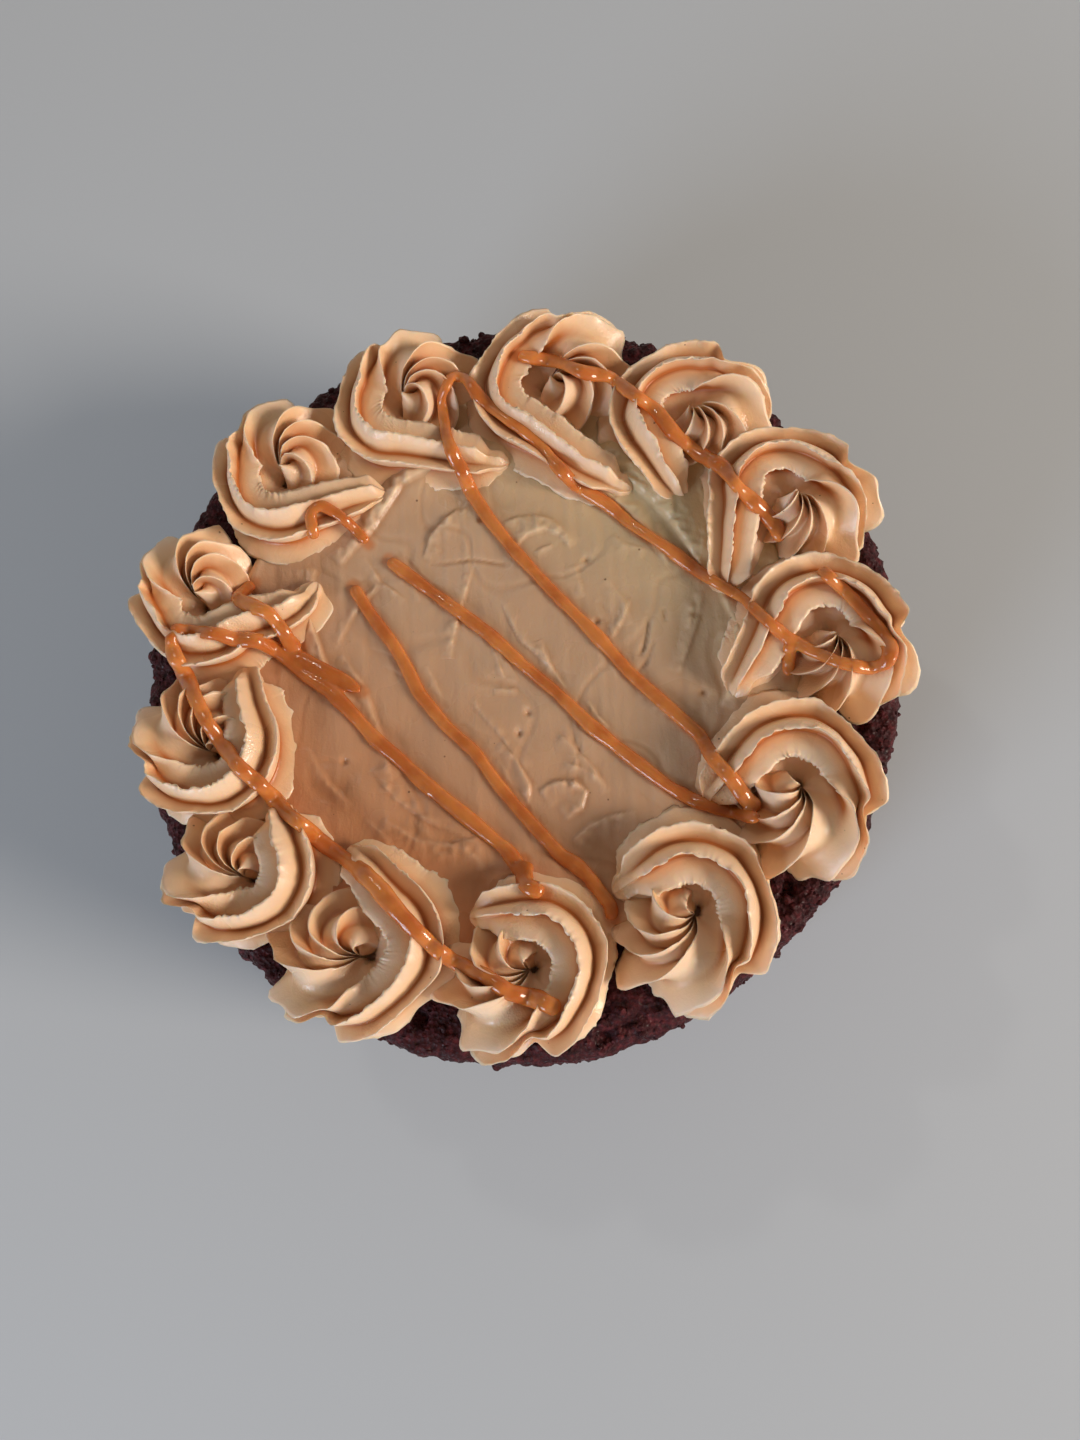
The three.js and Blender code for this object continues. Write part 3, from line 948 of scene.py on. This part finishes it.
# %% Knife marks
# Each mark: height in mm, half width in mm on its left, half width on its right, and its pixels.
KNIFE_MARKS = [
    (0.75, 0.5, 2.2, [(424, 559), (432, 535), (444, 522), (456, 512), (467, 511)]),
    (-0.4, 0.5, 0.7, [(430, 565), (472, 560), (511, 566)]),
    (0.5, 0.5, 1.8, [(475, 563), (460, 610), (457, 626), (453, 641), (452, 659)]),
    (0.5, 0.5, 2.0, [(500, 526), (518, 519), (535, 517), (552, 522), (568, 536)]),
    (0.55, 1.8, 0.5, [(515, 548), (527, 536), (544, 530), (560, 535), (571, 548)]),
    (0.4, 0.5, 1.2, [(534, 554), (543, 549), (552, 546)]),
    (-0.5, 0.5, 0.9, [(649, 612), (648, 630), (645, 647), (639, 657)]),
    (-0.45, 0.5, 0.7, [(664, 608), (665, 622)]),
    (0.45, 0.5, 1.4, [(692, 600), (692, 615), (689, 630)]),
    (0.6, 0.6, 1.8, [(703, 592), (698, 620), (688, 648), (678, 674)]),
    (-0.4, 0.5, 0.8, [(655, 640), (648, 660), (636, 676)]),
    (0.45, 0.5, 1.3, [(630, 600), (622, 622), (610, 640)]),
    (0.9, 0.5, 2.2, [(316, 569), (308, 605), (316, 635), (330, 679), (360, 708)]),
    (1.2, 2.4, 0.6, [(340, 566), (374, 530), (404, 486), (452, 463), (507, 457)]),
    (0.5, 0.6, 1.8, [(342, 655), (366, 690), (380, 735), (396, 790)]),
    (0.45, 0.5, 1.6, [(308, 748), (330, 785), (352, 806)]),
    (0.6, 2.0, 0.6, [(372, 770), (398, 800), (430, 822), (470, 838)]),
    (0.8, 0.6, 2.4, [(385, 820), (420, 842), (452, 846), (480, 838)]),
    (0.9, 0.5, 2.6, [(540, 792), (556, 782), (574, 782), (586, 792), (582, 808), (566, 820)]),
    (0.7, 0.5, 2.0, [(572, 842), (590, 826), (612, 816), (636, 812)]),
    (0.6, 0.5, 1.8, [(500, 742), (516, 760), (530, 786), (528, 806)]),
    (0.35, 0.5, 1.6, [(560, 735), (590, 765), (610, 792)]),
    (0.35, 1.4, 0.5, [(470, 700), (500, 735), (526, 770)]),
    (0.4, 0.5, 1.5, [(540, 640), (548, 662), (566, 690)]),
    (1.5, 2.6, 0.7, [(594, 446), (622, 476), (650, 499), (673, 524), (691, 552), (712, 584)]),
    (1.1, 2.2, 0.6, [(560, 452), (590, 484), (622, 506), (650, 536), (668, 566)]),
    (-0.45, 0.5, 0.8, [(620, 470), (645, 486), (664, 512)]),
    (1.2, 2.2, 0.6, [(720, 592), (733, 618), (735, 650), (731, 680), (722, 708)]),
    (0.55, 0.5, 1.6, [(380, 585), (352, 618), (336, 650)]),
    (0.35, 1.5, 0.5, [(500, 600), (520, 640), (552, 668)]),
    (0.5, 0.6, 1.6, [(640, 690), (655, 705), (676, 716), (700, 724)]),
]
BANKS = [  # broad rises: height in mm, half width in mm, pixels
    (2.2, 6.0, [(600, 450), (640, 465), (680, 505), (712, 555)]),
    (1.5, 5.0, [(330, 575), (372, 515), (424, 470), (480, 452), (540, 450)]),
    (1.0, 5.0, [(330, 700), (345, 770), (400, 830), (470, 860), (560, 855)]),
    (0.8, 5.0, [(740, 620), (738, 680), (690, 750), (650, 800)]),
]
KNIFE_PITS = [(703, 693), (528, 713), (596, 622), (481, 520), (519, 733), (345, 762), (617, 655), (586, 560)]


# %% Marks on the disc
def on_the_disc(pixels):
    """Where the camera sees pixels on the height of the disc, in millimetres."""
    found = []
    for x, y in pixels:
        ray = ray_through(x, y)
        at = CAMERA_AT + ray * (((SEAT + DISC_TOP) * MM - CAMERA_AT.z) / ray.z)
        found.append((at.x / MM, at.y / MM))
    return np.array(found)


def away_from(line, places):
    """Each place's distance from a line, negative on its right, and 1 halfway along it, 0 at its ends."""
    best = np.full(len(places), 1e9)
    signed = np.full(len(places), 1e9)
    share = np.zeros(len(places))
    for i, (start, end) in enumerate(zip(line[:-1], line[1:])):
        along = end - start
        t = np.clip((places - start) @ along / (along @ along), 0, 1)
        gap = places - start - t[:, None] * along
        far = np.hypot(gap[:, 0], gap[:, 1])
        nearer = far < best
        best = np.where(nearer, far, best)
        side = np.sign(along[0] * gap[:, 1] - along[1] * gap[:, 0])
        signed = np.where(nearer, far * side, signed)
        share = np.where(nearer, (i + t) / (len(line) - 1), share)
    return signed, 4 * share * (1 - share)


MARK_DEPTH = 1.5  # the marks are cut this much deeper than their listed heights, so that they read
MARK_EDGE = 1.6  # a power that makes the narrow side of a mark steeper and its wide side flatter


def marked(places, height, left, right, line):
    """The relief of one knife mark, which fades out to both sides and at both ends."""
    signed, middle = away_from(line, places)
    width = np.where(signed > 0, left, right) ** MARK_EDGE
    rise = np.exp(-((signed / width) ** 2)) * np.sqrt(middle)
    flat = np.stack([places[:, 0], places[:, 1], 0 * places[:, 0]], axis=1)
    ragged = 0.75 + 0.35 * wander(flat, 1.6, 33)
    return MARK_DEPTH * height * rise * ragged


# %% [markdown]
# The disc's relief is built up as the cream was: broad waves, faint steps where one stroke overlaps
# another, drag lines, the banks, the marks of the photograph, some more by chance, and a few pits.

# %% Relief of the disc
SOWN_MARKS = 70
SOWN_WITHIN = 56  # millimetres from the middle, each way
PIT_DEPTH = 0.8
KNIFE_WAY = np.array([[0.5, 0.87, 0], [-0.09, 0.05, 0], [0, 0, 1]])  # turns and stretches along the drag


def disc_relief(flat):
    """The height of the spread cream over its mean level, in millimetres."""
    relief = 0.35 * wander(flat, 22, 30) + 0.3 * wander(flat, 7, 31)
    relief += 0.22 * ease(np.abs(wander(flat, 15, 34)), 0, 0.14)  # faint steps where strokes overlap
    relief += 0.1 * wander(flat @ KNIFE_WAY * (0.35, 1, 1), 1.6, 32)
    places = flat[:, :2]
    for height, wide, pixels in BANKS:
        signed, middle = away_from(on_the_disc(pixels), places)
        relief += height * np.exp(-((signed / wide) ** 2)) * np.sqrt(middle)
    for height, left, right, pixels in KNIFE_MARKS:
        relief += marked(places, height, left, right, on_the_disc(pixels))
    for _ in range(SOWN_MARKS):
        middle = np.array([dice.uniform(-SOWN_WITHIN, SOWN_WITHIN) for _ in range(2)])
        heading = math.radians(dice.gauss(-50, 25))
        reach = dice.uniform(3, 9)
        bend = dice.uniform(-0.5, 0.5)
        turns = [heading - bend, heading, heading + bend]
        line = middle + np.cumsum([(reach * math.cos(t), reach * math.sin(t)) for t in turns], axis=0)
        relief += marked(places, dice.uniform(-0.2, 0.36), 0.5, dice.uniform(0.8, 2.6), line)
    for pit in on_the_disc(KNIFE_PITS):
        relief -= PIT_DEPTH * np.exp(-(((places - pit) ** 2).sum(axis=1)) / 0.8)
    return relief


# %% Spread disc
DISC_RADIUS = 77.0
DISC_EDGE = 4  # how far in from its rim the disc rounds off
DISC_STEPS = 600


def disc_profile():
    """Points (radius, height) from the middle of the underside to the middle of the top."""
    points = [(0, SEAT - 0.3), (40, SEAT - 0.3), (DISC_RADIUS - 1, SEAT - 0.3), (DISC_RADIUS, SEAT + 0.6)]
    for a in np.radians(np.arange(15, 90, 15)):
        points.append(
            (DISC_RADIUS - DISC_EDGE * (1 - math.cos(a)), SEAT + 1 + (DISC_TOP - 1) * math.sin(a))
        )
    for radius in np.arange(DISC_RADIUS - DISC_EDGE, 0.3, -0.55):
        points.append((radius, SEAT + DISC_TOP))
    return points + [(0, SEAT + DISC_TOP)]


shape = bmesh.new()
turned(shape, disc_profile(), DISC_STEPS)
verts = list(shape.verts)
places = points_of(verts)
top = ease(places[:, 2], SEAT + 3, SEAT + DISC_TOP)
angle = np.arctan2(places[:, 1], places[:, 0])
places[:, :2] *= (1 + 1.2 * slow_wave(angle, 2.1) / DISC_RADIUS)[:, None]
relief = disc_relief(places * (1, 1, 0))
places[:, 2] += top * relief
move_to(verts, places)
print("knife relief", round(relief.min(), 2), "to", round(relief.max(), 2), "mm")
spread = finish_piece(shape, "spread_disc", spread_cream_painted_shade, ["spread_buttercream"])
note_folds(spread, 0.7, 8)

# %% [markdown]
# The caramel was trailed from a spoon in long strokes, and its strands lie where the photograph shows
# them. Each is a line of pixels. The camera looks through each pixel at the cream, and the strand lies
# where the sight line meets it, bridging the narrow grooves as a thick sauce does.

# %% Caramel strokes
STROKES = {  # each: how wide it is in mm, and its pixels
    "back_right": (4.2, [(516, 355), (558, 362), (585, 373), (609, 376), (629, 391), (656, 410), (672, 431),
                         (694, 451), (723, 467), (737, 486), (760, 508), (776, 526), (782, 543)]),
    "long_loop": (3.9, [(761, 811), (746, 799), (732, 779), (714, 760), (700, 735), (668, 707), (630, 673),
                        (595, 634), (554, 593), (514, 550), (489, 519), (471, 492), (462, 470), (454, 457),
                        (446, 436), (441, 397), (451, 376), (466, 378), (480, 398), (497, 412), (520, 428),
                        (537, 441), (551, 459), (575, 485), (607, 504), (631, 524), (666, 547), (702, 574),
                        (743, 598), (762, 616), (785, 636), (810, 650), (838, 662), (870, 669), (888, 662),
                        (891, 648), (879, 629), (856, 602), (838, 584), (819, 568)]),
    "right_drip": (3.6, [(790, 640), (789, 655), (788, 678)]),
    "middle": (3.9, [(387, 559), (422, 585), (461, 613), (489, 634), (523, 665), (556, 692), (591, 726),
                     (630, 757), (668, 786), (695, 801), (730, 811), (753, 818), (762, 815)]),
    "inner_left": (3.9, [(352, 585), (371, 615), (393, 644), (405, 664), (419, 693), (446, 726), (475, 752),
                         (496, 782), (515, 805), (534, 826), (553, 847), (561, 856), (575, 864),
                         (588, 876), (601, 893), (611, 906), (612, 922)]),
    "left_loop": (4.2, [(254, 581), (246, 590), (235, 598), (251, 606), (268, 612), (282, 629), (290, 643),
                        (302, 650)]),
    "left_band": (4.2, [(169, 630), (192, 631), (219, 634), (235, 640), (257, 640), (279, 651), (301, 672),
                        (329, 690), (350, 711), (376, 740), (400, 760), (423, 782), (454, 807), (482, 830),
                        (507, 850), (522, 872), (525, 887)]),
    "left_branch": (5.6, [(272, 648), (290, 656), (318, 668), (340, 680), (362, 692)]),
    "front_left": (4.6, [(169, 632), (174, 655), (186, 676), (195, 698), (207, 722), (224, 746), (238, 766),
                         (257, 782), (271, 795), (286, 813), (305, 827), (326, 846), (350, 862), (375, 884),
                         (393, 906), (413, 928), (436, 949), (454, 962), (486, 976), (508, 992), (537, 999),
                         (562, 1011)]),
    "hook": (3.8, [(314, 541), (310, 513), (319, 504), (338, 514), (354, 528), (369, 544)]),
    "front_blob": (5.0, [(523, 860), (525, 885), (532, 889), (546, 892)]),
}

# %% Sight lines
CARAMEL_STEP = 0.5
POINTED = {"left_branch": 10.0}  # a stroke that thins to a point over this many millimetres
THINNER = 0.9  # the strands spread a little where they lie, so they are laid thinner than they look
LIFT = 0.35  # the middle line lies this far over the cream
FLATTENED = 0.68  # how high a strand is for its width
SMEARED = 0.4  # and a pointed one
ROUND_CAP = 2.2


def cream_tree():
    """The surface that the caramel lies on, as one search tree."""
    points, faces = [], []
    for piece in [*rosettes, spread, sponge]:
        start = len(points)
        points += [v.co.copy() for v in piece.data.vertices]
        faces += [[start + i for i in p.vertices] for p in piece.data.polygons]
    return BVHTree.FromPolygons(points, faces)


def through_pixels(pixels):
    """A smooth curve through pixels, with samples about two pixels apart."""
    pixels = np.array(pixels, float)
    walked = np.concatenate([[0], np.cumsum(np.hypot(*np.diff(pixels, axis=0).T))])
    count = max(8, int(walked[-1] / 2))
    at = np.linspace(0, walked[-1], count)
    x = smooth_line(np.interp(at, walked, pixels[:, 0]), 3)
    y = smooth_line(np.interp(at, walked, pixels[:, 1]), 3)
    return x, y


surface = cream_tree()


def stroke_line(pixels):
    """The middle line of a stroke in millimetres: where the camera sees its pixels on the cream, raised
    to the higher cream beside it where it bridges a groove."""
    rays = [ray_through(x, y) for x, y in zip(*through_pixels(pixels))]
    heights = []
    for ray in rays:
        hit = surface.ray_cast(CAMERA_AT, ray)[0]
        heights.append(hit.z / MM if hit else SEAT)
    heights = np.array(heights)
    reach = 5
    padded = np.pad(heights, reach, mode="edge")
    bridged = np.array([padded[i : i + 2 * reach + 1].max() for i in range(len(heights))])
    heights = np.maximum(smooth_line(0.6 * bridged + 0.4 * heights, 5), smooth_line(heights, 2)) + LIFT
    eye = np.array(CAMERA_AT) / MM
    return np.array([eye + np.array(ray) * ((z - CAMERA_AT.z / MM) / ray.z) for ray, z in zip(rays, heights)])


# %% Lay a stroke
caramel_points = []  # places along the strokes, in millimetres


def lay_stroke(shape, number, name, width, pixels):
    """Adds one strand and says how long it is."""
    line = stroke_line(pixels)
    length = np.concatenate([[0], np.cumsum(np.linalg.norm(np.diff(line, axis=0), axis=1))])
    ahead = np.gradient(line, axis=0)
    ahead /= np.linalg.norm(ahead, axis=1)[:, None]
    thins_over = POINTED.get(name, ROUND_CAP)
    height_share = SMEARED if name in POINTED else FLATTENED

    def place(u, v):
        s = v * length[-1]
        centre = np.stack([np.interp(s, length, line[:, k]) for k in range(3)], axis=1)
        forward = np.stack([np.interp(s, length, ahead[:, k]) for k in range(3)], axis=1)
        side = np.cross(forward, (0, 0, 1))
        side /= np.linalg.norm(side, axis=1)[:, None]
        lift = np.cross(side, forward)
        walk = np.stack([s, np.full_like(s, 9.0 * number), np.zeros_like(s)], axis=1)
        half = THINNER * width / 2 * (1 + 0.2 * wander(walk, 8, 60) + 0.08 * wander(walk, 2.5, 61))
        from_end = np.minimum(s, length[-1] - s)
        half = half * np.sqrt(np.clip(1 - (1 - np.clip(from_end / thins_over, 0, 1)) ** 2, 0, 1))
        turn = 2 * np.pi * u
        across, over = half * np.cos(turn), half * height_share * np.sin(turn)
        return centre + side * across[:, None] + lift * over[:, None]

    rolled_grid(shape, 20, max(12, int(length[-1] / CARAMEL_STEP)), place)
    caramel_points.extend(line)
    return length[-1]


shape = bmesh.new()
total = sum(lay_stroke(shape, i, name, *stroke) for i, (name, stroke) in enumerate(STROKES.items()))
bmesh.ops.recalc_face_normals(shape, faces=shape.faces)
print("caramel", round(total), "mm long")

# %% [markdown]
# Real strands run together where they cross. A Boolean union of eleven long tubes is slow and can
# fail where they only touch, so a voxel remesh fuses them instead, and one pass of smoothing takes its
# steps away.

# %% Fuse the strands
FUSE_STEP = 0.42
loose = bpy.data.meshes.new("strands")
shape.to_mesh(loose)
shape.free()
strands = bpy.data.objects.new("strands", loose)
bpy.context.scene.collection.objects.link(strands)
fuse = strands.modifiers.new("fuse", "REMESH")
fuse.mode = "VOXEL"
fuse.voxel_size = FUSE_STEP
bpy.context.view_layer.update()
fused = bpy.data.meshes.new_from_object(strands.evaluated_get(bpy.context.evaluated_depsgraph_get()))
shape = bmesh.new()
shape.from_mesh(fused)
bpy.data.objects.remove(strands)
bmesh.ops.smooth_vert(
    shape, verts=shape.verts, factor=0.5, use_axis_x=True, use_axis_y=True, use_axis_z=True
)
finish_piece(shape, "caramel_drizzle", caramel)

# %% [markdown]
# Round the caramel the cream is painted orange, standing in for the shadow that the translucent caramel
# casts. Each cream vertex looks for the nearest place on a strand's middle line, and the closer it is
# the more of that painted shadow it carries.

# %% Paint the caramel's shadow on the cream
SHADOW_FULL_WITHIN = 1.2  # millimetres from the middle line of a strand, where the painted shadow is full
SHADOW_FADES_OVER = 1.7  # and over which it fades
SHADOW_MOST = 0.7
lines = KDTree(len(caramel_points))
for i, point in enumerate(caramel_points):
    lines.insert(point, i)
lines.balance()
for piece in [*rosettes, spread]:
    distances = np.array([lines.find(v.co / MM)[2] for v in piece.data.vertices])
    shadow_values = piece.data.attributes.new(CARAMEL_SHADOW_LAYER, "FLOAT", "POINT")
    caramel_shadow = SHADOW_MOST * (1 - ease(distances, SHADOW_FULL_WITHIN, SHADOW_FULL_WITHIN + SHADOW_FADES_OVER))
    shadow_values.data.foreach_set("value", caramel_shadow)

# %% [markdown]
# The floor is a plain pale sheet, far wider than the picture.

# %% Floor
FLOOR_HALF = 3.0  # metres
floor_mesh = bpy.data.meshes.new("floor")
shape = bmesh.new()
bmesh.ops.create_grid(shape, x_segments=1, y_segments=1, size=FLOOR_HALF)
shape.to_mesh(floor_mesh)
shape.free()
floor = bpy.data.objects.new("floor", floor_mesh)
bpy.context.scene.collection.objects.link(floor)
floor_paint, tree = new_material("pale_floor")
shader = add_node(tree, "ShaderNodeBsdfPrincipled", {"Base Color": colour("#C6CFD6"), "Roughness": 0.6})
add_node(tree, "ShaderNodeOutputMaterial", links={"Surface": shader.outputs[0]})
floor_mesh.materials.append(floor_paint)

# %% [markdown]
# Daylight comes from two sides: cool from the front left, and warmer and stronger from the right. Both
# lamps are wide, so the folds have soft edges. A small lamp at the back gives the caramel its glints,
# and a dome that is brighter near the horizon fills the shadows.


# %% Light
def area_light(name, place, size, power, hex_code):
    data = bpy.data.lights.new(name, "AREA")
    data.shape = "DISK"
    data.size = size
    data.energy = power
    data.color = colour(hex_code)[:3]
    lamp = bpy.data.objects.new(name, data)
    lamp.location = place
    lamp.rotation_mode = "QUATERNION"
    lamp.rotation_quaternion = (Vector((0, 0, 0.05)) - lamp.location).to_track_quat("-Z", "Y")
    bpy.context.scene.collection.objects.link(lamp)


area_light("window_front_left", (-1.5, -1.7, 1.0), 1.1, 27.0, "#DDEAFF")
area_light("window_right", (2.1, -0.6, 1.0), 0.8, 47.0, "#FFEDDD")
area_light("glint", (-0.7, 0.9, 1.5), 0.12, 1.4, "#FFF6EA")
world = bpy.data.worlds.new("studio")
world.use_nodes = True
tree = world.node_tree
tree.nodes.clear()
sky = add_node(tree, "ShaderNodeTexCoord").outputs["Generated"]
upright = add_node(tree, "ShaderNodeSeparateXYZ", links={0: sky}).outputs["Z"]
dome = add_node(tree, "ShaderNodeMapRange", {1: 0.05, 2: 0.8, 3: 0.76, 4: 0.11}, {0: upright})
background = add_node(
    tree, "ShaderNodeBackground", {"Color": colour("#F3E5D8")}, {"Strength": dome.outputs[0]}
)
add_node(tree, "ShaderNodeOutputWorld", links={"Surface": background.outputs[0]})
bpy.context.scene.world = world
bpy.context.scene.view_settings.view_transform = "Standard"
